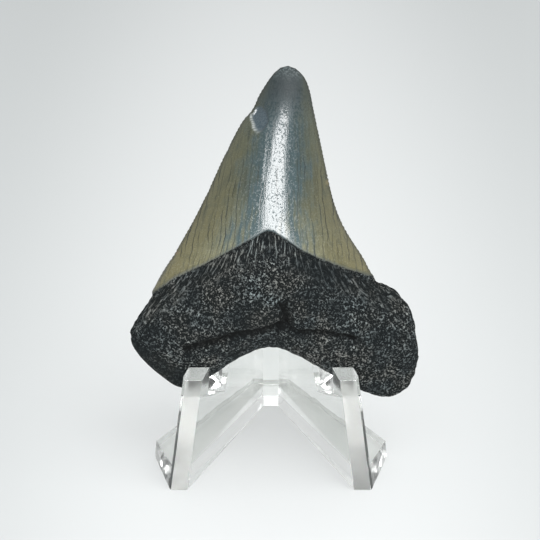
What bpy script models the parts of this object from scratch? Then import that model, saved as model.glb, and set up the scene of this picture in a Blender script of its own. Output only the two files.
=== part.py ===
"""A fossil shark tooth that leans in its clear moulded display stand.

Metres, +Z up, seen from the front along +Y. Two pieces: the stand, one clear moulding that stands on
its flat base, and the tooth, one natural solid that rests in the stand's two notches and leans back
on the stand's two uprights.
"""

import math

import bmesh
import bpy
from mathutils import Vector

MM = 0.001

# --- The stand: two upright walls that open forwards in a V, on a low base that reaches outwards ---
FOOT_HALF = 18.4 * MM  # inner face of a wall at the front, from the middle
WALL_RUN = 30.6 * MM  # from the front of the feet to the inside of the back
BACK_HALF = 1.8 * MM  # half of the flat where the two walls meet
WALL_THICK = 4.0 * MM
WALL_TOP = 47.0 * MM
FRONT_CORNER = 0.95 * MM  # chamfer on the outer front corner of each wall
EDGE_ROUND = 0.22 * MM

LIP_FRONT = (6.5 * MM, 25.0 * MM)  # (depth from the front, height) of the lip's front edge
LIP_BACK = (9.5 * MM, 26.4 * MM)
SEAT_FRONT = (8.6 * MM, 19.8 * MM)
SEAT_BACK = (15.0 * MM, 15.8 * MM)
SUPPORT_CREST = 2.4 * MM  # the bevelled top of the uprights
BASE_LOW_FRONT = (22.3 * MM, 0.5 * MM)  # (half width, depth) of the base's corners, on the table
BASE_LOW_SIDE = (26.1 * MM, 11.8 * MM)
BASE_LOW_REAR = (6.6 * MM, 37.6 * MM)
BASE_HIGH_FRONT = (21.7 * MM, 3.6 * MM)  # the same corners on the base's upper face
BASE_HIGH_SIDE = (25.7 * MM, 12.3 * MM)
BASE_HIGH_REAR = (6.5 * MM, 37.2 * MM)
BASE_HEIGHT = 4.0 * MM

# --- The tooth: drawn flat in its own plane (across, along), then leaned back ---
LEAN = math.radians(20)
TOOTH_AT = Vector((0, 13.4, 24.2)) * MM  # where the plane's zero lies, from the front of the feet
GAP = 0.3 * MM
COLUMNS, ROWS = 30, 42

# Outline in millimetres, upwards from the lobe to the tip on each side. Smooth curves run through it.
LEFT_SIDE = [
    (-31.2, 7.0), (-29.9, 10.5), (-27.2, 14.0), (-25.3, 17.6), (-23.2, 21.3), (-20.9, 24.8), (-18.9, 28.3),
    (-16.9, 31.8), (-13.4, 38.8), (-10.2, 45.8), (-7.6, 51.0), (-5.7, 54.3), (-4.4, 55.6), (-3.6, 56.4),
    (-3.3, 57.7), (-1.4, 61.2), (0.6, 64.0), (2.0, 65.2), (3.6, 65.6),
]
RIGHT_SIDE = [
    (32.8, 1.4), (32.2, 6.0), (31.4, 10.6), (29.8, 14.4), (26.2, 18.0), (22.4, 19.7), (20.0, 24.0),
    (17.1, 28.4), (15.1, 32.0), (13.4, 36.6), (12.1, 42.0), (10.9, 47.6), (9.8, 52.8), (9.0, 56.4),
    (8.3, 60.0), (7.3, 62.9), (5.6, 64.8), (3.6, 65.6),
]
LOWER_EDGE = [
    (-31.2, 7.0), (-30.3, 3.7), (-27.1, -0.5), (-23.7, -3.4), (-20.2, -6.0), (-17.3, -5.9), (-13.7, -3.9),
    (-9.2, -0.6), (-5.8, 1.6), (-2.4, 3.2), (0.4, 3.6), (3.0, 2.9), (6.3, 0.9), (9.7, -0.9), (13.3, -3.2),
    (16.9, -5.1), (20.3, -6.9), (23.3, -8.2), (26.0, -8.4), (29.0, -7.2), (31.4, -4.1), (32.8, 1.4),
]


def new_object(name, mesh, group):
    obj = bpy.data.objects.new(name, mesh)
    group.objects.link(obj)
    return obj


def clear_scene():
    for obj in list(bpy.data.objects):
        bpy.data.objects.remove(obj, do_unlink=True)


def collection(name, hidden=False):
    group = bpy.data.collections.new(name)
    bpy.context.scene.collection.children.link(group)
    group.hide_render = hidden
    return group


def plain_material(name, color, roughness, transmission=0.0):
    material = bpy.data.materials.new(name)
    material.use_nodes = True
    shader = material.node_tree.nodes["Principled BSDF"]
    shader.inputs["Base Color"].default_value = (*color, 1)
    shader.inputs["Roughness"].default_value = roughness
    shader.inputs["Transmission Weight"].default_value = transmission
    return material


def prism(name, outline, height, group):
    """A flat outline of (x, y) points pulled up by height, made with an extrude."""
    mesh = bpy.data.meshes.new(name)
    shape = bmesh.new()
    face = shape.faces.new([shape.verts.new((x, y, 0)) for x, y in outline])
    moved = bmesh.ops.extrude_face_region(shape, geom=[face])["geom"]
    lifted = [item for item in moved if isinstance(item, bmesh.types.BMVert)]
    bmesh.ops.translate(shape, verts=lifted, vec=(0, 0, height))
    bmesh.ops.recalc_face_normals(shape, faces=shape.faces)
    shape.to_mesh(mesh)
    shape.free()
    return new_object(name, mesh, group)


def mirrored(half):
    """The outline of one side, from front to back, followed by its mirror image."""
    return half + [(-x, y) for x, y in reversed(half)]


def as_helper(obj):
    obj.hide_render = True
    obj.display_type = "WIRE"
    return obj


def boolean(obj, other, operation):
    modifier = obj.modifiers.new(operation.title(), "BOOLEAN")
    modifier.operation = operation
    modifier.object = other
    modifier.solver = "EXACT"


# --- Stand ---


def wall_outline():
    """The V of the two walls from above: round the outside, then back along the inside."""
    slope = (FOOT_HALF - BACK_HALF) / WALL_RUN
    across = WALL_THICK * math.hypot(1, slope)  # the wall's thickness measured along X
    outer_back = BACK_HALF + across - slope * WALL_THICK
    outside = [(-FOOT_HALF - across, 0), (-outer_back, WALL_RUN + WALL_THICK)]
    outside += [(-x, y) for x, y in reversed(outside)]
    inside = [(FOOT_HALF, 0), (BACK_HALF, WALL_RUN)]
    inside += [(-x, y) for x, y in reversed(inside)]
    return outside + inside


def side_outline():
    """The walls from the side as (depth, height): leaning front, lip, notch, and leaning support."""
    rise = WALL_TOP - SUPPORT_CREST - SEAT_BACK[1]
    crest = (SEAT_BACK[0] + rise * math.tan(LEAN), WALL_TOP - SUPPORT_CREST)
    behind = WALL_RUN + WALL_THICK + 5 * MM
    return [
        (0, 0), LIP_FRONT, LIP_BACK, SEAT_FRONT, SEAT_BACK, crest,
        (crest[0] + SUPPORT_CREST, WALL_TOP), (behind, WALL_TOP), (behind, 0),
    ]


def side_cutter(group):
    """The side outline as a long bar across the stand, which keeps only the walls inside it."""
    length = 80 * MM
    bar = prism("side_profile", side_outline(), length, group)
    for vertex in bar.data.vertices:
        depth, height, across = vertex.co
        vertex.co = (across - length / 2, depth, height)
    shape = bmesh.new()
    shape.from_mesh(bar.data)
    bmesh.ops.recalc_face_normals(shape, faces=shape.faces)
    shape.to_mesh(bar.data)
    shape.free()
    return as_helper(bar)


def base_plate(group):
    """The arrow-shaped base. Its upper face is a little smaller than its lower one."""
    slope = (FOOT_HALF - BACK_HALF) / WALL_RUN
    inset = 1.6 * MM  # how far its inner edge stays inside the walls
    inner_front = (-FOOT_HALF - inset, BASE_LOW_FRONT[1])
    inner_back = (-BACK_HALF - inset + slope * inset, WALL_RUN + inset)
    low = [inner_back, inner_front] + [(-x, y) for x, y in (BASE_LOW_FRONT, BASE_LOW_SIDE, BASE_LOW_REAR)]
    high_front = (-FOOT_HALF - inset, BASE_HIGH_FRONT[1])
    high = [inner_back, high_front] + [(-x, y) for x, y in (BASE_HIGH_FRONT, BASE_HIGH_SIDE, BASE_HIGH_REAR)]
    plate = prism("base_plate", mirrored(low), BASE_HEIGHT, group)
    upper = dict(zip(mirrored(low), mirrored(high)))
    for vertex in plate.data.vertices:
        if vertex.co.z > BASE_HEIGHT / 2:
            nearest = min(upper, key=lambda point: math.dist(point, vertex.co.xy))
            vertex.co.xy = upper[nearest]
    return as_helper(plate)


def chamfer_front_corners(obj):
    """Cuts the long outer front edge of each wall, which leans back from the foot to the lip."""
    shape = bmesh.new()
    shape.from_mesh(obj.data)
    edges = []
    for edge in shape.edges:
        low, high = sorted((vertex.co for vertex in edge.verts), key=lambda point: point.z)
        on_front = all(abs(p.y - p.z * LIP_FRONT[0] / LIP_FRONT[1]) < 0.05 * MM for p in (low, high))
        outer = abs(low.x) > FOOT_HALF + WALL_THICK - 2 * MM - low.z * 0.2
        if on_front and outer and high.z - low.z > 3 * MM:
            edges.append(edge)
    bmesh.ops.bevel(shape, geom=edges, offset=FRONT_CORNER, segments=1, affect="EDGES")
    shape.to_mesh(obj.data)
    shape.free()


def make_stand(group, cutters):
    rough = prism("stand_rough", wall_outline(), WALL_TOP + 2 * MM, cutters)
    boolean(rough, side_cutter(cutters), "INTERSECT")
    boolean(rough, base_plate(cutters), "UNION")
    bpy.context.view_layer.update()
    graph = bpy.context.evaluated_depsgraph_get()
    mesh = bpy.data.meshes.new_from_object(rough.evaluated_get(graph))
    bpy.data.objects.remove(rough, do_unlink=True)
    stand = new_object("stand", mesh, group)
    shape = bmesh.new()
    shape.from_mesh(mesh)
    bmesh.ops.remove_doubles(shape, verts=shape.verts, dist=0.01 * MM)
    bmesh.ops.dissolve_limit(shape, angle_limit=math.radians(1), verts=shape.verts, edges=shape.edges)
    shape.to_mesh(mesh)
    shape.free()
    chamfer_front_corners(stand)
    edges = stand.modifiers.new("Edges", "BEVEL")
    edges.width = EDGE_ROUND
    edges.segments = 1
    edges.limit_method = "ANGLE"
    edges.angle_limit = math.radians(25)
    stand.data.materials.clear()
    stand.data.materials.append(plain_material("clear_plastic", (0.93, 0.95, 0.94), 0.05, 1.0))
    return stand


# --- Tooth ---


def smooth_point(points, share):
    """The point at a share of the length of a smooth curve through the points."""
    lengths = [0.0]
    for a, b in zip(points, points[1:]):
        lengths.append(lengths[-1] + math.dist(a, b))
    goal = share * lengths[-1]
    index = max(i for i in range(len(points) - 1) if lengths[i] <= goal)
    t = (goal - lengths[index]) / (lengths[index + 1] - lengths[index])
    before = points[max(index - 1, 0)]
    start, end = points[index], points[index + 1]
    after = points[min(index + 2, len(points) - 1)]
    spans = [max(math.dist(*pair), 1e-6) for pair in ((before, start), (start, end), (end, after))]
    spans[0] = spans[0] if index else spans[1]
    result = []
    for a, b, c, d in zip(before, start, end, after):
        leave = (c - b + (b - a) * spans[1] / spans[0]) / 2
        arrive = (c - b + (d - c) * spans[1] / spans[2]) / 2
        result.append(
            (2 * t**3 - 3 * t**2 + 1) * b + (t**3 - 2 * t**2 + t) * leave
            + (3 * t**2 - 2 * t**3) * c + (t**3 - t**2) * arrive
        )
    return result


def step(value, low, high):
    """0 below low, 1 above high, and an even rise between."""
    t = min(max((value - low) / (high - low), 0), 1)
    return t * t * (3 - 2 * t)


def hump(u, v, middle, spread):
    return math.exp(-(((u - middle[0]) / spread[0]) ** 2) - ((v - middle[1]) / spread[1]) ** 2)


def crease(u):
    """The height at which the furrow across the root runs."""
    return 7.2 - 0.0075 * (u - 2) ** 2 + 2.2 * math.exp(-(((u - 0.6) / 2.2) ** 2))


def front_depth(u, v):
    """How far the inner face of the tooth stands out from its plane, in millimetres, away from its edges."""
    crown = 6.6 - 0.1 * max(v - 27, 0) - 2.3 * step(v, 55, 67)
    root = 5.4 + 3.9 * hump(u, v, (0.5, 14.0), (13, 8)) + 1.2 * hump(u, v, (20, 8), (9, 7))
    root += 0.8 * hump(u, v, (-18, 9), (9, 6))
    root -= 1.8 * step(-v, -6.0, 4.0)
    depth = root + (crown - root) * step(v, 17, 31)
    furrow = 0.75 * math.exp(-(((v - crease(u)) / 1.1) ** 2)) * step(24 - abs(u - 1), 0, 9)
    pit = 0.9 * hump(u, v, (2.4, 9.2), (1.6, 1.8))
    return depth - furrow - pit


def back_depth(u, v):
    """The same for the flatter outer face, which leans on the stand."""
    depth = 4.0 - 1.1 * step(v, 14, 26) - 1.2 * step(v, 30, 64)
    return depth - 0.5 * hump(u, v, (0, 22), (9, 8))


def edge_share(across, up):
    """How much of the depth is there, near the sides and the lower edge: round root, keen crown."""
    side = abs(2 * across - 1)
    crown = step(up, 0.14, 0.36)
    round_side = math.sqrt(max(1 - side**5, 0))
    keen_side = (1 - side**2.1) ** 0.86
    low = min(up / 0.16, 1)
    round_low = math.sqrt(max(1 - (1 - low) ** 2, 0))
    tip = math.sqrt(max(1 - step(up, 0.93, 1.0) ** 2, 0))
    return (round_side + (keen_side - round_side) * crown) * round_low * tip


def plane_point(across, up):
    """A point of the tooth's plane, from the lower edge (up 0) to the tip (up 1), left to right."""
    left = smooth_point(LEFT_SIDE, up)
    right = smooth_point(RIGHT_SIDE, up)
    low = smooth_point(LOWER_EDGE, across)
    fade = (1 - step(up, 0, 0.5)) ** 1.3
    result = []
    for a, b, low_value, low_a, low_b in zip(left, right, low, LOWER_EDGE[0], LOWER_EDGE[-1]):
        level = a + (b - a) * across
        result.append(level + fade * (low_value - low_a - (low_b - low_a) * across))
    return result


def in_world(u, v, w):
    """From the tooth's plane, in millimetres, to its place in the stand."""
    along = Vector((0, math.sin(LEAN), math.cos(LEAN)))
    outward = Vector((0, -math.cos(LEAN), math.sin(LEAN)))
    return TOOTH_AT + (Vector((u, 0, 0)) + along * v + outward * w) * MM


def make_tooth(group):
    shape = bmesh.new()
    sheets = {}
    for face_sign, depth_of in ((1, front_depth), (-1, back_depth)):
        for row in range(ROWS + 1):
            up = row / ROWS
            for column in range(COLUMNS + 1):
                across = (1 - math.cos(math.pi * column / COLUMNS)) / 2
                on_rim = row == 0 or column in (0, COLUMNS)
                key = (0 if on_rim else face_sign, row, column if row < ROWS else 0)
                key = (0, row, 0) if row == ROWS else key
                if key in sheets:
                    continue
                u, v = plane_point(across, up)
                w = 0 if key[0] == 0 else face_sign * depth_of(u, v) * edge_share(across, up)
                sheets[key] = shape.verts.new(in_world(u, v, w))
    for sign in (1, -1):
        for row in range(ROWS):
            for column in range(COLUMNS):
                corners = [(row, column), (row, column + 1), (row + 1, column + 1), (row + 1, column)]
                found = []
                for r, c in corners:
                    rim = r == 0 or c in (0, COLUMNS)
                    key = (0, r, 0) if r == ROWS else (0 if rim else sign, r, c)
                    if sheets[key] not in found:
                        found.append(sheets[key])
                shape.faces.new(found if sign > 0 else found[::-1])
    bmesh.ops.recalc_face_normals(shape, faces=shape.faces)
    mesh = bpy.data.meshes.new("tooth")
    shape.to_mesh(mesh)
    shape.free()
    mesh.shade_smooth()
    tooth = new_object("tooth", mesh, group)
    mesh.materials.append(plain_material("fossil", (0.14, 0.16, 0.15), 0.35))
    return tooth


def stand_on_origin(objects):
    """Moves the meshes so that the origin is under the middle of the whole, on the table."""
    corners = [vertex.co for obj in objects for vertex in obj.data.vertices]
    low = Vector([min(point[axis] for point in corners) for axis in range(3)])
    high = Vector([max(point[axis] for point in corners) for axis in range(3)])
    middle = Vector(((low.x + high.x) / 2, (low.y + high.y) / 2, low.z))
    for obj in objects:
        for vertex in obj.data.vertices:
            vertex.co -= middle


def main():
    clear_scene()
    parts = collection("fossil_tooth_on_stand")
    cutters = collection("cutters", hidden=True)
    stand = make_stand(parts, cutters)
    tooth = make_tooth(parts)
    stand_on_origin([stand, tooth])


main()
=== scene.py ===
# %% [markdown]
# # A fossil shark tooth in its clear display stand
#
# The real thing is two pieces. The tooth is one solid: a crown under glossy enamel, and below it a root of
# porous bone-like stone, stained nearly black by the sea bed. The stand is one clear moulding, in which
# the tooth only rests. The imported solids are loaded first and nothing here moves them.

import math

import bpy
import numpy as np
from mathutils import Euler, Matrix, Vector, noise


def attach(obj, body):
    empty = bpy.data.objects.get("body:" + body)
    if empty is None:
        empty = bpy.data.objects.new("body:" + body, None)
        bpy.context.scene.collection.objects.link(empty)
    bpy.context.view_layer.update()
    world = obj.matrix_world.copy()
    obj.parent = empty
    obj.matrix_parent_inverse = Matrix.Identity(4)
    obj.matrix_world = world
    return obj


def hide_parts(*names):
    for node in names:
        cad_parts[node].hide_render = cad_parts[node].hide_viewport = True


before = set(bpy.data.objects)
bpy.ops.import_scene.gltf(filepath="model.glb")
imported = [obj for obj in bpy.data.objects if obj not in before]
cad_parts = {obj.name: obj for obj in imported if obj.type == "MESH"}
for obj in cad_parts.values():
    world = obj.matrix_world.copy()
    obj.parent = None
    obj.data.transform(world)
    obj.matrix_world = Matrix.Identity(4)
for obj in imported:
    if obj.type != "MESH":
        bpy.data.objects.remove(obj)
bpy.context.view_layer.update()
MM = 0.001

# %% [markdown]
# The tooth leans back in its stand, and everything on it, such as the line where its enamel ends, is easier
# to describe on the tooth itself. So it gets a frame of its own: across, along (from the notch of the
# root up to the tip) and out (towards the viewer). One matrix turns the stand's frame into it.

# %% The tooth's own frame
LEAN = math.radians(20)
TOOTH_AT = Vector((-0.8, -5.4, 24.2))  # mm, where across, along and out are zero
turn = Matrix.Rotation(LEAN, 3, "X")


def on_tooth(point):
    """A point of the stand's frame, in metres, as (across, along, out) in millimetres."""
    x, y, z = turn @ (Vector(point) / MM - TOOTH_AT)
    return x, z, -y


def from_tooth(across, along, out):
    """The other way round: back to metres in the stand's frame."""
    return (turn.inverted() @ Vector((across, -out, along)) + TOOTH_AT) * MM


print("Tip of the tooth near", [round(value, 4) for value in from_tooth(3.6, 65.6, 0)])

# %% [markdown]
# ## The solid of the tooth
#
# A tooth has no straight line in it, so no primitive is a good start. The imported solid already has the
# right outline and thickness. Its mesh is copied and merged, its triangles are joined into quads, and a
# subdivision surface rounds it. The two cutting edges are creased first, because a subdivision surface
# would wear them off.

# %% Copy the tooth's solid and join its triangles into quads
def only(obj):
    """Selects this object alone, so that the next operator acts on nothing else."""
    bpy.ops.object.select_all(action="DESELECT")
    obj.select_set(True)
    bpy.context.view_layer.objects.active = obj


SAME_POINT = 0.01 * MM
NEARLY_FLAT = math.radians(60)
tooth = bpy.data.objects.new("fossil_tooth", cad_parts["tooth"].data.copy())
bpy.context.scene.collection.objects.link(tooth)
only(tooth)
bpy.ops.object.mode_set(mode="EDIT")
bpy.ops.mesh.select_all(action="SELECT")
bpy.ops.mesh.remove_doubles(threshold=SAME_POINT)
bpy.ops.mesh.tris_convert_to_quads(face_threshold=NEARLY_FLAT, shape_threshold=NEARLY_FLAT)
bpy.ops.mesh.normals_make_consistent(inside=False)
bpy.ops.object.mode_set(mode="OBJECT")
print("Tooth as quads:", len(tooth.data.polygons), "faces")

# %% Crease the cutting edges, then round the rest
CUTTING_EDGE_FROM = 17.0  # mm along: below this the rim is the root's, which is round
ON_THE_RIM = 0.02  # mm out: the cutting edges lie this near to the tooth's middle plane
SPLITS = 2  # each face becomes four, twice
places = [on_tooth(vertex.co) for vertex in tooth.data.vertices]
crease = tooth.data.attributes.new("crease_edge", "FLOAT", "EDGE")
for edge in tooth.data.edges:
    ends = [places[index] for index in edge.vertices]
    if all(abs(out) < ON_THE_RIM and along > CUTTING_EDGE_FROM for across, along, out in ends):
        crease.data[edge.index].value = 1.0

rounding = tooth.modifiers.new("Rounding", "SUBSURF")
rounding.levels = SPLITS
rounding.render_levels = SPLITS
only(tooth)
bpy.ops.object.modifier_apply(modifier="Rounding")
print("Smooth tooth:", len(tooth.data.vertices), "points")

# %% [markdown]
# The serrations and the grain of the root need smaller faces than the plain parts of the crown. Only the
# faces along the cutting edges and on the front of the root are divided again.

# %% Find the two cutting edges
rim = [on_tooth(vertex.co) for vertex in tooth.data.vertices]
rim = [point for point in rim if abs(point[2]) < 1.5 * ON_THE_RIM and point[1] > CUTTING_EDGE_FROM - 3]


def middle_at(along):
    """Where the middle of the crown is, across, from its base up to its tip."""
    return np.interp(along, (25.0, 63.0), (-1.0, 3.6))


left_rim = sorted((along, across) for across, along, out in rim if across < middle_at(along))
right_rim = sorted((along, across) for across, along, out in rim if across >= middle_at(along))
left_rim, right_rim = np.array(left_rim), np.array(right_rim)


def edge_distance(across, along):
    """How far a point is from the nearer cutting edge, and -1 or 1 for which one."""
    left = across - np.interp(along, *left_rim.T)
    right = np.interp(along, *right_rim.T) - across
    return (left, -1) if left < right else (right, 1)


print("Points on the cutting edges:", len(left_rim), "left and", len(right_rim), "right")

# %% The line where the enamel ends
GUM_LINE = (  # (across, along) points of the front, in mm
    (-31, 13.0), (-24.9, 17.1), (-20.9, 20.1), (-14.3, 23.4), (-8.6, 26.8), (-3.6, 29.8), (-1.5, 31.0),
    (-0.4, 31.3), (0.7, 30.9), (3.1, 29.4), (6.2, 27.2), (10.5, 24.9), (16.9, 22.0), (22.1, 20.0),
    (26, 18.8), (31, 22.0),
)
BACK_LINE, BACK_RISE, BACK_SAG = 18.0, 0.004, 1.5  # mm, mm per square mm, mm


def gum_line(across, front=True):
    """Where the enamel ends: an arrow-head on the front, a shallow sag on the back."""
    if not front:
        return BACK_LINE + BACK_RISE * (across + 2) ** 2 - BACK_SAG * math.exp(-(((across - 1) / 9) ** 2))
    return float(np.interp(across, *np.array(GUM_LINE).T))


ends_at = [round(gum_line(0.0, front), 1) for front in (True, False)]
print("Enamel ends, at the middle, at", ends_at[0], "mm on the front and", ends_at[1], "on the back")


# %% Divide the faces that will carry fine detail
def divide(obj, wanted):
    """Divides the faces whose middle, on the tooth, is wanted."""
    chosen = [wanted(*on_tooth(face.center)) for face in obj.data.polygons]
    only(obj)
    bpy.ops.object.mode_set(mode="EDIT")
    bpy.ops.mesh.select_mode(type="FACE")
    bpy.ops.mesh.select_all(action="DESELECT")
    bpy.ops.object.mode_set(mode="OBJECT")
    obj.data.polygons.foreach_set("select", chosen)
    bpy.ops.object.mode_set(mode="EDIT")
    bpy.ops.mesh.subdivide(number_cuts=1)
    bpy.ops.object.mode_set(mode="OBJECT")


def on_front_of_root(across, along, out):
    return out > 0.8 and along < gum_line(across) + 0.6


def on_cutting_edge(across, along, out):
    return along > CUTTING_EDGE_FROM + 1 and edge_distance(across, along)[0] < 1.0


divide(tooth, on_front_of_root)
divide(tooth, on_cutting_edge)
print("Divided tooth:", len(tooth.data.polygons), "faces")

# %% [markdown]
# ## Relief
#
# These are the forms that a thumb would feel. The enamel stands a little proud of the root. Just below it
# runs a band of fine upright ridges. Lower down a long furrow crosses the root, with the pit where vessels
# entered the living tooth. A flake has broken from the left lobe, and a chip from the left cutting edge.
# Each form is a function that says how strong it is at a point, and each point moves along its normal.

# %% Where the forms are, in millimetres
FURROWS = (  # (across, along) points of each furrow, its half width and its depth, in mm
    (((-18.4, 4.8), (-12.0, 6.8), (-7.4, 8.3), (-2.7, 8.9), (1.5, 9.9)), 0.7, 1.0),
    (((3.2, 11.0), (3.9, 9.4), (6.0, 8.9), (12.0, 8.9), (18.2, 7.5)), 0.5, 1.0),
    (((2.5, 15.8), (3.3, 13.3), (3.0, 10.7), (1.3, 9.9)), 1.1, 1.3),
)
FLAKE_LINE = ((-31.2, 6.6), (-25.3, 3.2), (-19.2, -0.4), (-15.0, -2.9))  # upper edge of the broken flake
CHIP_AT, CHIP_SIZE = (-2.5, 54.6), (2.0, 2.5)
RIDGE_LINE = ((-0.6, 58.0), (-1.1, 52.0), (-2.1, 42.0))  # a faint ridge beside the middle of the crown
print("Furrows:", len(FURROWS), "and the chip at", CHIP_AT)


# %% Soft steps and distances
def ramp(value, low, high):
    """0 below low and 1 above high, with a soft start and end."""
    t = min(max((value - low) / (high - low), 0.0), 1.0)
    return t * t * (3 - 2 * t)


def line_distance(across, along, points):
    """The distance from a point to a line of points, all on the tooth's plane."""
    best = 1e9
    for (ax, ay), (bx, by) in zip(points, points[1:]):
        run, rise = bx - ax, by - ay
        share = ((across - ax) * run + (along - ay) * rise) / (run * run + rise * rise)
        share = min(max(share, 0.0), 1.0)
        best = min(best, math.hypot(across - ax - run * share, along - ay - rise * share))
    return best


def bell(away, width):
    """1 at no distance, and soon 0 beyond the width."""
    return math.exp(-((away / width) ** 2))


print("A step from 0 to 1 is half way at 0.5:", ramp(0.5, 0, 1))


# %% The flake and the chip
FLAKE_RIGHT_END = -14.5  # mm across


def flake_share(across, along):
    """1 on the smooth broken flake at the left, 0 elsewhere."""
    if across > FLAKE_RIGHT_END:
        return 0.0
    return ramp(float(np.interp(across, *np.array(FLAKE_LINE).T)) - along, -0.1, 0.5)


def chip_reach(across, along):
    """0 in the middle of the chip and 1 on its ragged border, with the direction from its middle."""
    x = (across - CHIP_AT[0]) / CHIP_SIZE[0]
    y = (along - CHIP_AT[1]) / CHIP_SIZE[1]
    wobble = 0.3 * noise.noise(Vector((across, along, 3)) * 0.55)
    reach = math.hypot(x, y)
    return reach + wobble, (x / max(reach, 0.01), y / max(reach, 0.01))


def chip_share(across, along):
    """1 in the chip, 0 outside it."""
    return 1 - ramp(chip_reach(across, along)[0], 0.82, 1.0)


def chip_rim_highlight_share(across, along):
    """1 on the lower left wall of the chip, which gets a painted highlight."""
    reach, (x, y) = chip_reach(across, along)
    return bell(reach - 0.97, 0.07) * ramp(-0.8 * x - 0.6 * y, 0.35, 0.8)


print("In the middle of the chip its share is", chip_share(*CHIP_AT))

# %% The rough ground of the root: a step down from the enamel, then grain, lumps and pores
STEP_DEPTH, GRAIN_DEPTH, LUMP_DEPTH, PORE_DEPTH = 0.12, 0.24, 0.34, 0.30  # mm
GRAINS_PER_MM, LUMPS_PER_MM, PORES_PER_MM = 1.05, 0.33, 0.62


def rough_ground(seed):
    """How deep the root's surface lies below the enamel's at a point, in mm."""
    grain = 0.5 + 0.5 * noise.noise(seed * GRAINS_PER_MM)
    lumps = 0.5 + 0.5 * noise.fractal(seed * LUMPS_PER_MM, 1.0, 2.0, 3)
    pores = max(0.0, 0.62 - noise.voronoi(seed * PORES_PER_MM)[0][0])
    return STEP_DEPTH + GRAIN_DEPTH * grain + LUMP_DEPTH * lumps + PORE_DEPTH * pores


print("Ground at the notch of the root:", round(rough_ground(Vector((0, 0, 0))), 2), "mm deep")

# %% All relief together
RIB_DEPTH, FLAKE_DEPTH, CHIP_DEPTH, RIDGE_HEIGHT = 0.24, 0.35, 0.55, 0.05  # mm
RIBS_PER_MM = 0.95
FAN_FOCUS = (1.0, 52.0)  # mm across and along: the ribs run down from here
FAN_AT = 29.0  # mm along: where the ribs have their true width


def relief(across, along, out):
    """How far the surface moves out (or, below zero, in) at a point, in mm."""
    front = out > 0
    above = along - gum_line(across, front)
    root = 1 - ramp(above, -0.35, 0.15)
    gap = edge_distance(across, along)[0]
    inside = ramp(gap, 0.2, 2.5) if along > CUTTING_EDGE_FROM + 3 else 1.0
    smooth = 0.8 * flake_share(across, along) if front else 0.0
    seed = Vector((across, along, out * 0.8))
    depth = root * inside * (1 - smooth) * rough_ground(seed)
    if front:
        band = ramp(-above, 0.0, 0.8) * (1 - ramp(-above, 3.5, 7.0))
        ray = (across - FAN_FOCUS[0]) * (FAN_FOCUS[1] - FAN_AT) / (FAN_FOCUS[1] - along)
        rib = noise.noise(Vector((ray * RIBS_PER_MM, along * 0.10, 4)))
        depth += band * RIB_DEPTH * (0.5 - rib) * inside
        for points, half_width, deep in FURROWS:
            away = line_distance(across, along, points) + 0.35 * noise.noise(seed * 0.7)
            depth += deep * bell(away, half_width)
        depth += FLAKE_DEPTH * flake_share(across, along) * ramp(out, 0.4, 3.0)
        depth += chip_share(across, along) * min(CHIP_DEPTH, 0.6 * out)
        depth -= RIDGE_HEIGHT * bell(line_distance(across, along, RIDGE_LINE), 0.3)
    return -depth


print("Relief in the pit of the furrow:", round(relief(2.5, 12.0, 8.0), 2), "mm")

# %% Serrations
PITCH, TOOTHING, WORN_OFF = 0.92, 0.2, (61.0, 64.0)  # mm from one to the next, mm deep, mm along
FADE, NO_FURTHER = 0.55, 1.6  # mm: how fast they die away from the cutting edge, and where they end


def serration(across, along):
    """How far the cutting edge moves outwards at a point of the crown, in mm."""
    gap, side = edge_distance(across, along)
    if gap > NO_FURTHER:
        return 0.0
    climb = 1.12 if side < 0 else 1.06  # length of edge for each millimetre along
    phase = along * climb / PITCH + 0.25 * noise.noise(Vector((side * 9, along * 0.8, 1)))
    wear = 0.55 + 0.75 * noise.noise(Vector((side * 5, along * 0.35, 7)))
    reach = ramp(along, 18.5, 21.0) * (1 - ramp(along, *WORN_OFF)) * min(max(wear, 0.15), 1.0)
    bite = 0.45 * max(0.0, noise.noise(Vector((side * 3, along * 0.22, 2))) - 0.25)
    return (TOOTHING * (abs(math.sin(math.pi * phase)) - 0.7) * reach - bite) * math.exp(-gap / FADE)


edge_at_40 = float(np.interp(40, *left_rim.T))
print("The left cutting edge at 40 mm moves by", round(serration(edge_at_40, 40), 3), "mm")

# %% Move every point of the tooth by its relief
NOT_AN_EDGE = 9.0  # mm: written where there is no cutting edge near
normals = [vertex.normal.copy() for vertex in tooth.data.vertices]
before = [vertex.co.copy() for vertex in tooth.data.vertices]
fields = {"enamel_height": [], "blade_gap": [], "flake": [], "chip": [], "chip_rim_highlight": [], "furrow": []}
for vertex, normal in zip(tooth.data.vertices, normals):
    across, along, out = on_tooth(vertex.co)
    front = out >= 0
    gap, side = edge_distance(across, along)
    on_crown = along > CUTTING_EDGE_FROM + 2
    fields["enamel_height"].append(along - gum_line(across, front))
    fields["blade_gap"].append(gap if on_crown else NOT_AN_EDGE)
    fields["flake"].append(flake_share(across, along) if front else 0.0)
    fields["chip"].append(chip_share(across, along) if front else 0.0)
    fields["chip_rim_highlight"].append(chip_rim_highlight_share(across, along) if front else 0.0)
    # The furrow field is painted shade: near a furrow it darkens the root's colour and fades its pale
    # crests.
    shades = [bell(line_distance(across, along, line), 1.5 * half) for line, half, deep in FURROWS]
    fields["furrow"].append(max(shades) if front else 0.0)
    vertex.co += normal * relief(across, along, out) * MM
    if on_crown:
        vertex.co.x += side * serration(across, along) * MM
for name, values in fields.items():
    field = tooth.data.attributes.new(name, "FLOAT", "POINT")
    field.data.foreach_set("value", values)
moved = [(vertex.co - start).length / MM for vertex, start in zip(tooth.data.vertices, before)]
print("Furthest move of a point, in mm:", round(max(moved), 2))

# %% Shade it smooth, and declare what it stands for
only(tooth)
bpy.ops.object.shade_smooth_by_angle(angle=math.radians(50))  # the cutting edges stay crisp
tooth.data.materials.clear()
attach(tooth, "root")
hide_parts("tooth")
print("Tooth box in mm:", [round(value / MM, 1) for value in tooth.dimensions])

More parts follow.
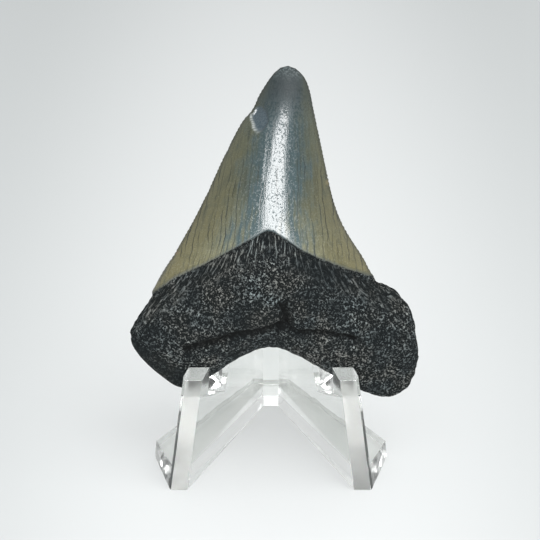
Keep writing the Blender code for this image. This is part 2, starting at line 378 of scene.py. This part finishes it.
# %% [markdown]
# ## Materials
#
# Colours are written as sRGB hex values, and one function turns them into the linear values that Blender
# wants. One more function adds a node with its settings and its links.

# %% Colour and node helpers
def tint(code):
    """A hex colour such as 8fa1a5 as linear red, green, blue and alpha."""
    parts = [int(code[index : index + 2], 16) / 255 for index in (0, 2, 4)]
    linear = [c / 12.92 if c <= 0.04045 else ((c + 0.055) / 1.055) ** 2.4 for c in parts]
    return (*linear, 1.0)


def add(tree, kind, sockets=None, out=0, **settings):
    """Adds a shader node, links a socket or sets a value on each input, and gives back one output."""
    made = tree.nodes.new("ShaderNode" + kind)
    for name, value in settings.items():
        setattr(made, name, value)
    for name, value in (sockets or {}).items():
        if isinstance(value, bpy.types.NodeSocket):
            tree.links.new(value, made.inputs[name])
        else:
            made.inputs[name].default_value = value
    return made.outputs[out] if made.outputs else made


def empty_tree(holder):
    """The node tree of a new material or world, cleared."""
    holder.use_nodes = True
    holder.node_tree.nodes.clear()
    return holder.node_tree


print("Mid grey 808080 is", round(tint("808080")[0], 3), "linear")

# %% [markdown]
# Fossil enamel is a dense apatite glaze, 1 mm thick or less, that took up minerals from the mud it lay in.
# Over the thick middle it is blue-grey, over the thin edges olive, and it is still glossy. Drying split it
# into fine upright cracks. The root is the same mineral but porous, so it stained through to charcoal, and
# only the crests of its grain are pale, partly from wear and partly as a painted glint of the light on the
# grain. Both are one solid, so they are one material, and the enamel's height above its lower line decides
# which of the two a point gets.
#
# In a Mix node, input 0 is the share of the second colour, 6 and 7 are the two colours, and output 2 is the
# result. In a Map Range node, inputs 1 and 2 are the range that comes in, and 3 and 4 are the one that goes
# out, from 0 to 1 where they aren't given.

# %% Places on the tooth, in millimetres
fossil = bpy.data.materials.new("fossil_enamel_and_root")
tree = empty_tree(fossil)
where = add(tree, "TexCoord", out="Object")
local = add(
    tree, "Mapping",
    {"Vector": where, "Scale": (1 / MM,) * 3, "Rotation": (LEAN, 0, 0), "Location": -(turn @ TOOTH_AT)},
)
across = add(tree, "SeparateXYZ", {0: local}, "X")
inwards = add(tree, "SeparateXYZ", {0: local}, "Y")
along = add(tree, "SeparateXYZ", {0: local}, "Z")
height, blade, flake, chip, chip_rim_highlight, furrow = [
    add(tree, "Attribute", out="Fac", attribute_name=name) for name in fields
]

# Growth marks run along rays: on the crown from far above the tip, on the root from the middle of the crown
fans = []
for focus_across, focus_along, squeeze in ((3.6, 118.0, 0.06), (*FAN_FOCUS, 0.15)):
    aside = add(tree, "Math", {0: across, 1: focus_across}, operation="SUBTRACT")
    reach = add(tree, "Math", {0: focus_along, 1: along}, operation="SUBTRACT")
    ray = add(tree, "Math", {0: aside, 1: reach}, operation="DIVIDE")
    ray = add(tree, "Math", {0: ray, 1: focus_along - FAN_AT}, operation="MULTIPLY")
    up = add(tree, "Math", {0: along, 1: squeeze}, operation="MULTIPLY")
    fans.append(add(tree, "CombineXYZ", {0: ray, 1: inwards, 2: up}))
crown_fan, root_fan = fans
print("Tooth coordinates and", len(fans), "fans of growth marks")

# %% Patterns, each with its number of marks per millimetre
patterns = (  # name, coordinates, marks per mm, detail, roughness, warp
    ("cloud", local, 0.16, 3.0, 0.55, 0.0),  # stains about 6 mm wide
    ("blotch", local, 0.45, 2.0, 0.5, 0.3),  # mottling about 2 mm wide
    ("streaks", crown_fan, 1.1, 3.0, 0.65, 0.0),  # growth streaks about 1 mm wide
    ("pits", local, 2.5, 2.0, 0.55, 0.2),  # etched pits of 0.4 mm, a little coarser than the real ones
    ("grit", local, 1.5, 3.0, 0.6, 0.4),  # grain of the root, 0.7 mm
    ("fine", local, 3.0, 2.0, 0.5, 0.6),  # and 0.3 mm
    ("upright", root_fan, 2.8, 1.0, 0.5, 0.1),  # ribs of the root below the enamel, 0.4 mm wide
    ("breaks", crown_fan, 0.8, 2.0, 0.5, 0.0),  # what interrupts a crack
)
seen = {}
for name, vector, scale, detail, rough, warp in patterns:
    sockets = {"Vector": vector, "Scale": scale, "Detail": detail, "Roughness": rough, "Distortion": warp}
    seen[name] = add(tree, "TexNoise", sockets)

ragged = add(tree, "Math", {0: seen["grit"], 1: 0.8, 2: -0.4}, operation="MULTIPLY_ADD")
ragged = add(tree, "Math", {0: height, 1: ragged}, operation="ADD")
is_root = add(tree, "MapRange", {0: ragged, 1: 0.1, 2: -0.1})
print("Fossil patterns:", ", ".join(seen))

# %% How far a point is from the crown's middle: 0 there and 1 at its cutting edges
spine = add(tree, "Math", {0: along, 1: 0.11, 2: -3.9}, operation="MULTIPLY_ADD")
off_spine = add(tree, "Math", {0: across, 1: spine}, operation="SUBTRACT")
off_spine = add(tree, "Math", {0: off_spine}, operation="ABSOLUTE")
half_width = add(tree, "MapRange", {0: along, 1: 20.0, 2: 66.0, 3: 15.5, 4: 4.0})
sideways = add(tree, "Math", {0: off_spine, 1: half_width}, operation="DIVIDE")
breakers = (("cloud", 0.7), ("blotch", 0.35), ("streaks", 0.8))  # how far each pattern shifts the border
for pattern, reach in breakers:
    shifted = add(tree, "Math", {0: seen[pattern], 1: reach, 2: -reach / 2}, operation="MULTIPLY_ADD")
    sideways = add(tree, "Math", {0: sideways, 1: shifted}, operation="ADD")
print("Patterns that break up the border of the two enamel colours:", len(breakers))

# %% Enamel colours: blue-grey in the middle, olive towards both cutting edges and the lower corners
olive = add(tree, "MapRange", {0: sideways, 1: 0.3, 2: 1.05}, interpolation_type="SMOOTHSTEP")
upwards = add(tree, "MapRange", {0: along, 1: 22.0, 2: 60.0})
slate = add(tree, "Mix", {0: upwards, 6: tint("4f5e60"), 7: tint("3a474a")}, 2, data_type="RGBA")
moss = add(tree, "Mix", {0: upwards, 6: tint("67634a"), 7: tint("4a4e40")}, 2, data_type="RGBA")
enamel = add(tree, "Mix", {0: olive, 6: slate, 7: moss}, 2, data_type="RGBA")

# Pale streaks, low on the crown between the blue-grey and the olive
low = add(tree, "MapRange", {0: height, 1: 11.0, 2: 1.0})
pale_low = add(tree, "MapRange", {0: seen["streaks"], 1: 0.35, 2: 0.6, 4: 0.75})
for share in (
    low,
    add(tree, "MapRange", {0: sideways, 1: 0.25, 2: 0.6}),
    add(tree, "MapRange", {0: sideways, 1: 1.25, 2: 0.8, 3: 0.25}),
):
    pale_low = add(tree, "Math", {0: pale_low, 1: share}, operation="MULTIPLY")
print("Nodes up to the ground colours:", len(tree.nodes))

# %% Two small rust and clay stains at the edges, a pale patch at the very tip, partly wear and partly a painted highlight, and a dark tip
stains = []
for place, size in (((-19.9, 0.0, 25.0), 0.9), ((11.7, 0.0, 40.6), 1.0)):
    away = add(tree, "VectorMath", {0: local, 1: place}, "Value", operation="DISTANCE")
    stains.append(add(tree, "MapRange", {0: away, 1: size, 2: 0.3 * size, 4: 0.7}))
# The pale patch at the tip is partly wear and partly a painted highlight.
tip_wear_and_painted_highlight = add(tree, "MapRange", {0: along, 1: 62.5, 2: 66.0})
tip_grain = add(tree, "MapRange", {0: seen["pits"], 1: 0.45, 2: 0.6, 3: 0.0, 4: 0.75})
tip_wear_and_painted_highlight = add(tree, "Math", {0: tip_wear_and_painted_highlight, 1: tip_grain}, operation="MULTIPLY")
dark_tip = add(tree, "MapRange", {0: along, 1: 54.0, 2: 61.0, 4: 0.8})
less_olive = add(tree, "MapRange", {0: olive, 3: 1.0, 4: 0.55})
dark_tip = add(tree, "Math", {0: dark_tip, 1: less_olive}, operation="MULTIPLY")
print("Stains:", len(stains))

# %% Everything that lies over the ground colours, from the bottom layer to the top one
layers = (  # share, colour
    (pale_low, "8b896e"),
    (add(tree, "MapRange", {0: seen["streaks"], 1: 0.52, 2: 0.72, 4: 0.6}), "2b3434"),
    (add(tree, "MapRange", {0: seen["blotch"], 1: 0.5, 2: 0.75, 4: 0.25}), "33403f"),
    (add(tree, "MapRange", {0: height, 1: 0.8, 2: 0.1, 4: 0.6}), "2a3537"),
    (dark_tip, "1c2527"),
    (tip_wear_and_painted_highlight, "6d7878"),
    (stains[0], "a5826a"),
    (stains[1], "a5966c"),
    # painted shade along both cutting edges, where the notches of the serrations lie in shade
    (add(tree, "MapRange", {0: blade, 1: 0.7, 2: 0.0, 4: 0.55}), "1f211c"),
    (chip, "424e54"),
    # a painted highlight on the lower left wall of the chip
    (add(tree, "Math", {0: chip_rim_highlight, 1: 0.7}, operation="MULTIPLY"), "b4b9b8"),
)
for share, code in layers:
    enamel = add(tree, "Mix", {0: share, 6: enamel, 7: tint(code)}, 2, data_type="RGBA")
print("Enamel layers:", len(layers))

# %% Cracks: the borders of bands that run up the tooth, wandering a little, and broken into lengths
ray = add(tree, "SeparateXYZ", {0: crown_fan}, "X")
wander = add(tree, "Math", {0: seen["cloud"], 1: 2.2}, operation="MULTIPLY")
ray = add(tree, "Math", {0: ray, 1: wander}, operation="ADD")
CRACKS_PER_MM = 0.95
walls = add(
    tree, "TexVoronoi", {"W": ray, "Scale": CRACKS_PER_MM, "Randomness": 1.0},
    voronoi_dimensions="1D", feature="DISTANCE_TO_EDGE",
)
crack = add(tree, "MapRange", {0: walls, 1: 0.11, 2: 0.03})
for share in (
    add(tree, "MapRange", {0: seen["breaks"], 1: 0.38, 2: 0.62}),
    add(tree, "MapRange", {0: sideways, 1: 0.05, 2: 0.35, 3: 0.3}),
    add(tree, "MapRange", {0: along, 1: 56.0, 2: 42.0}),
):
    crack = add(tree, "Math", {0: crack, 1: share}, operation="MULTIPLY")
cracked = add(tree, "Math", {0: crack, 1: 0.95}, operation="MULTIPLY")
enamel = add(tree, "Mix", {0: cracked, 6: enamel, 7: tint("11181a")}, 2, data_type="RGBA")
print("Cracks about", round(1 / CRACKS_PER_MM, 1), "mm apart")

# %% Upright ribs of the root, just below the enamel, palest under the peak of the gum line
RIBS_END = 6.5  # mm below the enamel
band = add(tree, "MapRange", {0: height, 1: 0.0, 2: -0.9})
low_end = add(tree, "MapRange", {0: height, 1: -RIBS_END, 2: -2.8})
band = add(tree, "Math", {0: band, 1: low_end}, operation="MULTIPLY")
ribs = add(tree, "MapRange", {0: seen["upright"], 1: 0.54, 2: 0.64})
central = add(tree, "MapRange", {0: off_spine, 1: 9.0, 2: 3.0, 3: 0.65, 4: 1.2})
ribs = add(tree, "Math", {0: ribs, 1: central}, operation="MULTIPLY")
ribs = add(tree, "Math", {0: ribs, 1: band}, operation="MULTIPLY")
print("Ribs reach", RIBS_END, "mm below the enamel")

# %% Where the root's crests are pale: at random, brighter on two swellings by a painted highlight, and kept dark by painted shade on the low ground
grained = add(tree, "Math", {0: seen["grit"], 1: seen["fine"]}, operation="ADD")
crest = add(tree, "MapRange", {0: grained, 1: 1.01, 2: 1.2, 4: 1.25})
crest_wear_and_painted_light = add(tree, "MapRange", {0: seen["cloud"], 1: 0.36, 2: 0.6, 3: 0.35, 4: 1.05})
lit_swellings = (  # place, reach and core in mm, and how strongly a painted highlight lifts its crests
    ((0.0, -8.0, 19.5), 7.0, 2.5, 2.3),
    ((20.0, -4.0, 13.0), 7.5, 2.0, 1.5),
)
for place, reach, core, gain in lit_swellings:
    lit_swelling = add(tree, "VectorMath", {0: local, 1: place}, "Value", operation="DISTANCE")
    lit_swelling = add(tree, "MapRange", {0: lit_swelling, 1: reach, 2: core, 4: gain})
    crest_wear_and_painted_light = add(tree, "Math", {0: crest_wear_and_painted_light, 1: lit_swelling}, operation="MAXIMUM")
shaded_hollow = add(tree, "VectorMath", {0: local, 1: (-3.5, -7.0, 11.5)}, "Value", operation="DISTANCE")
shaded_hollow = add(tree, "MapRange", {0: shaded_hollow, 1: 2.0, 2: 6.5, 3: 0.4})  # painted shade on the low ground above the furrow
crest_wear_and_painted_light = add(tree, "Math", {0: crest_wear_and_painted_light, 1: shaded_hollow}, operation="MULTIPLY")
print("Polished swellings:", len(lit_swellings))

# %% Root colours: charcoal with pale crests, partly wear and partly painted glints, and painted shade in the furrows
off_band = add(tree, "Math", {0: band, 1: -0.85, 2: 1.0}, operation="MULTIPLY_ADD")
crest = add(tree, "Math", {0: crest, 1: off_band}, operation="MULTIPLY")
crest = add(tree, "Math", {0: crest, 1: ribs}, operation="ADD")
# Pale crests fade on the smooth flake, at random, and in the furrows, where the fading is part of the
# painted shade.
for share in (
    add(tree, "MapRange", {0: flake, 1: 1.0, 2: 0.0, 3: 0.2}),
    add(tree, "MapRange", {0: furrow, 1: 0.9, 2: 0.2, 3: 0.1}),
    add(tree, "MapRange", {0: seen["blotch"], 1: 0.32, 2: 0.62, 3: 0.25}),
    crest_wear_and_painted_light,
):
    crest = add(tree, "Math", {0: crest, 1: share}, operation="MULTIPLY")
browner = add(tree, "MapRange", {0: seen["cloud"], 1: 0.4, 2: 0.6})
bone = add(tree, "Mix", {0: browner, 6: tint("0c1214"), 7: tint("101515")}, 2, data_type="RGBA")
# The pale crest colour is partly worn mineral and partly a painted glint of the light on the grain.
pale_crest_and_glint = add(tree, "Mix", {0: browner, 6: tint("8a9596"), 7: tint("8f918d")}, 2, data_type="RGBA")
# Painted shade: in and beside the furrows the root's colour goes nearly black.
bone = add(tree, "Mix", {0: furrow, 6: bone, 7: tint("060808")}, 2, data_type="RGBA")
bone = add(tree, "Mix", {0: crest, 6: bone, 7: pale_crest_and_glint}, 2, data_type="RGBA")
print("Nodes up to the root's colours:", len(tree.nodes))

# %% Gloss of both: glazed enamel with dull pits, and a dull root with polished crests
crowded = add(tree, "MapRange", {0: along, 1: 46.0, 2: 60.0, 3: 0.36, 4: 0.48})  # more pits towards the tip
glaze = add(tree, "Math", {0: seen["pits"], 1: crowded}, operation="SUBTRACT")
glaze = add(tree, "MapRange", {0: glaze, 2: 0.08})  # 1 on the glaze, 0 in a pit
dull = add(tree, "MapRange", {0: glaze, 3: 0.5, 4: 0.12})
for share in (
    add(tree, "MapRange", {0: along, 1: 50.0, 2: 62.0, 4: 0.22}),
    add(tree, "MapRange", {0: height, 1: 0.7, 2: 0.2, 4: 0.35}),
    add(tree, "Math", {0: crack, 1: 0.3}, operation="MULTIPLY"),
):
    dull = add(tree, "Math", {0: dull, 1: share}, operation="ADD")
root_dull = add(tree, "MapRange", {0: crest, 1: 0.1, 2: 0.8, 3: 0.85, 4: 0.38})
rough = add(tree, "Mix", {0: is_root, 2: dull, 3: root_dull}, data_type="FLOAT")
print("Nodes up to the gloss:", len(tree.nodes))

# %% Fine relief of both, and the shader
etched = add(tree, "Math", {0: seen["streaks"], 1: 0.6}, operation="MULTIPLY")
pitted = add(tree, "Math", {0: glaze, 1: 0.3}, operation="MULTIPLY")
etched = add(tree, "Math", {0: etched, 1: pitted}, operation="ADD")
sunk = add(tree, "Math", {0: crack, 1: -0.2}, operation="MULTIPLY")
etched = add(tree, "Math", {0: etched, 1: sunk}, operation="ADD")
bumpy = add(tree, "Math", {0: crest, 1: grained}, operation="ADD")
enamel_bump = add(tree, "Bump", {"Height": etched, "Strength": 0.16, "Distance": 0.2 * MM})
root_bump = add(tree, "Bump", {"Height": bumpy, "Strength": 1.0, "Distance": 0.4 * MM})
facing = add(tree, "Mix", {0: is_root, 4: enamel_bump, 5: root_bump}, 1, data_type="VECTOR")
color = add(tree, "Mix", {0: is_root, 6: enamel, 7: bone}, 2, data_type="RGBA")
shader = add(
    tree, "BsdfPrincipled", {"Base Color": color, "Roughness": rough, "Normal": facing, "IOR": 1.58}
)
add(tree, "OutputMaterial", {0: shader})
tooth.data.materials.append(fossil)
print("Fossil material:", len(tree.nodes), "nodes")

# %% [markdown]
# The pores of the root swallow light, so its faces mirror less than the dense enamel. That is one number,
# the index of refraction, so the root's faces get a copy of the material in which only that is lower.

# %% The root's faces
POROUS_IOR = 1.3
BELOW_THE_LINE = -0.1  # mm: the mean enamel height of a face that is all root
porous = fossil.copy()
porous.name = "fossil_root_porous"
porous.node_tree.nodes["Principled BSDF"].inputs["IOR"].default_value = POROUS_IOR
tooth.data.materials.append(porous)
heights = np.array(fields["enamel_height"])
root_faces = [bool(heights[list(face.vertices)].mean() < BELOW_THE_LINE) for face in tooth.data.polygons]
tooth.data.polygons.foreach_set("material_index", np.array(root_faces, dtype=np.int32))
print("Root faces:", sum(root_faces), "of", len(root_faces))

# %% [markdown]
# The stand is crystal polystyrene, injection moulded in a polished mould. It is as clear as glass and bends
# light a little more. The index here is 1.55, just under the 1.59 of the pure resin. What shows the stand
# are its edges, which gather light, and faint flow marks. Its narrow front faces are a little frosted.

# %% Flow marks and frosting of the clear plastic
clear = bpy.data.materials.new("clear_polystyrene_moulded")
tree = empty_tree(clear)
where = add(tree, "TexCoord", out="Object")
flow = add(tree, "TexNoise", {"Vector": where, "Scale": 90.0, "Detail": 2.0})  # flow marks, 11 mm apart
mottle = add(tree, "TexNoise", {"Vector": where, "Scale": 350.0, "Detail": 3.0})  # frosting, 3 mm
flow_bump = add(tree, "Bump", {"Height": flow, "Strength": 0.12, "Distance": 0.6 * MM})
front_face = add(tree, "SeparateXYZ", {0: add(tree, "NewGeometry", out="True Normal")}, "Y")
front_face = add(tree, "MapRange", {0: front_face, 1: -0.8, 2: -0.9})
depth = add(tree, "SeparateXYZ", {0: where}, "Y")
near_front = add(tree, "MapRange", {0: depth, 1: -0.0095, 2: -0.0105})
frosted = add(tree, "Math", {0: front_face, 1: near_front}, operation="MULTIPLY")
polished = add(tree, "MapRange", {0: flow, 1: 0.4, 2: 0.8, 3: 0.02, 4: 0.08})
rough = add(tree, "Math", {0: frosted, 1: 0.55, 2: polished}, operation="MULTIPLY_ADD")
haze = add(tree, "MapRange", {0: mottle, 1: 0.3, 2: 0.7, 3: 0.55, 4: 1.0})
haze = add(tree, "Math", {0: haze, 1: frosted}, operation="MULTIPLY")
print("Plastic patterns:", len(tree.nodes), "nodes")

# %% Colour of the clear plastic, and its shader
# The tint is partly real clouding along the flow marks, and partly painted shade that darkens the stand
# towards its top.
flow_cloud_and_top_shade = add(tree, "MapRange", {0: flow, 1: 0.38, 2: 0.66})
upper = add(tree, "MapRange", {0: add(tree, "SeparateXYZ", {0: where}, "Z"), 1: 0.005, 2: 0.018})
flow_cloud_and_top_shade = add(tree, "Math", {0: flow_cloud_and_top_shade, 1: 0.35, 2: upper}, operation="MULTIPLY_ADD", use_clamp=True)
body = add(tree, "Mix", {0: flow_cloud_and_top_shade, 6: tint("f9faf8"), 7: tint("eceeec")}, 2, data_type="RGBA")
color = add(tree, "Mix", {0: haze, 6: body, 7: tint("e2e2dc")}, 2, data_type="RGBA")
shader = add(
    tree, "BsdfPrincipled",
    {"Base Color": color, "Roughness": rough, "IOR": 1.55, "Transmission Weight": 1.0, "Normal": flow_bump},
)
add(tree, "OutputMaterial", {0: shader})
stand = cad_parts["stand"]
stand.data.materials.clear()
stand.data.materials.append(clear)
print("Stand keeps its solid:", len(stand.data.polygons), "faces")

# %% [markdown]
# ## The studio
#
# A paper sweep, a large soft light overhead and a little to the right, and one tall narrow light in front.
# The paper's colour is a painted pool of light, brightest in front of the stand and darker towards its far
# corners. The narrow light draws the bright band down the middle of the crown, because the crown is a
# convex mirror. It lights the tooth and the stand only, so it throws no long shadow on the floor behind. A
# third light lifts the floor alone, as light scattered by pale studio walls would, and casts no shadow. It
# makes grey paper look nearly white, and the shadows of the other two lights faint.

# %% Floor
bpy.ops.object.select_all(action="DESELECT")
bpy.ops.mesh.primitive_plane_add(size=40.0, location=(0, 0, -0.00005))
floor = bpy.context.object
floor.name = "studio_floor"
pale = bpy.data.materials.new("paper_sweep_painted_light_pool")
tree = empty_tree(pale)
where = add(tree, "TexCoord", out="Object")
# The paper's colour is a painted pool of light: brightest in front of the stand, darker towards the far
# corners.
stretched = add(tree, "Mapping", {"Vector": where, "Scale": (2.4, 0.4, 0.0), "Location": (0, 0.02, 0)})
away = add(tree, "VectorMath", {0: stretched}, "Value", operation="LENGTH")
away = add(tree, "MapRange", {0: away, 1: 0.03, 2: 0.22}, interpolation_type="SMOOTHSTEP")
paper_with_painted_light_pool = add(tree, "Mix", {0: away, 6: tint("ced0d0"), 7: tint("b6b9b9")}, 2, data_type="RGBA")
shader = add(tree, "BsdfPrincipled", {"Base Color": paper_with_painted_light_pool, "Roughness": 0.85})
add(tree, "OutputMaterial", {0: shader})
floor.data.materials.append(pale)
print("Floor:", [round(value, 2) for value in floor.dimensions])


# %% Three soft lights
def soft_light(name, place, aim, size, power):
    """A rectangular light of size (width, height) in metres, turned to face a point."""
    data = bpy.data.lights.new(name, "AREA")
    data.shape = "RECTANGLE"
    data.size, data.size_y = size
    data.energy = power
    light = bpy.data.objects.new(name, data)
    bpy.context.scene.collection.objects.link(light)
    light.location = place
    light.rotation_euler = (Vector(aim) - Vector(place)).to_track_quat("-Z", "Y").to_euler()
    return light


soft_light("overhead", (0.36, -0.06, 0.8), (0, 0, 0.03), (0.6, 0.6), 2.4)
strip = soft_light("front_strip", (0.03, -0.75, 0.39), (0, 0, 0.06), (0.34, 0.52), 8.6)
fill = soft_light("floor_fill", (0, -0.4, 0.7), (0, 0, 0), (0.9, 0.9), 7.8)
fill.data.use_shadow = False
for light, pieces in ((strip, (tooth, stand)), (fill, (floor,))):
    lit = bpy.data.collections.new("lit_by_" + light.name)
    for piece in pieces:
        lit.objects.link(piece)
    light.light_linking.receiver_collection = lit

# %% The room around: bright behind the object and above it, dim in front
room = bpy.data.worlds.new("pale_room")
tree = empty_tree(room)
towards = add(tree, "TexCoord", out="Generated")
behind = add(tree, "SeparateXYZ", {0: towards}, "Y")
behind = add(tree, "MapRange", {0: behind, 1: -0.6, 2: 0.25, 3: 0.12, 4: 0.8})
overhead = add(tree, "SeparateXYZ", {0: towards}, "Z")
overhead = add(tree, "MapRange", {0: overhead, 1: 0.45, 2: 0.85, 3: 0.12, 4: 0.58})
glow = add(tree, "Math", {0: behind, 1: overhead}, operation="MAXIMUM")
backdrop = add(tree, "Background", {"Color": tint("f4f6f7"), "Strength": glow})
add(tree, "OutputWorld", {0: backdrop})
scene = bpy.context.scene
scene.world = room
print("Room:", room.name)

# %% [markdown]
# Light bends and bounces many times inside clear plastic, and each bounce that is cut short is a black
# patch. So the limits on bounces are raised.

# %% Light paths
scene.view_settings.view_transform = "Standard"
scene.cycles.max_bounces = 32
scene.cycles.glossy_bounces = 24
scene.cycles.transmission_bounces = 24
print("Bounces:", scene.cycles.max_bounces)

# %% Camera
LOOKS_DOWN = 33  # degrees
camera_data = bpy.data.cameras.new("camera")
camera_data.sensor_width = 36.0
camera_data.lens = 127.3
camera = bpy.data.objects.new("camera", camera_data)
scene.collection.objects.link(camera)
camera.location = Vector((-1.0, -344.65, 269.3)) * MM
camera.rotation_euler = Euler((math.radians(90 - LOOKS_DOWN), 0, 0))
scene.camera = camera
print("Camera looks down by", LOOKS_DOWN, "degrees from", [round(value, 3) for value in camera.location])
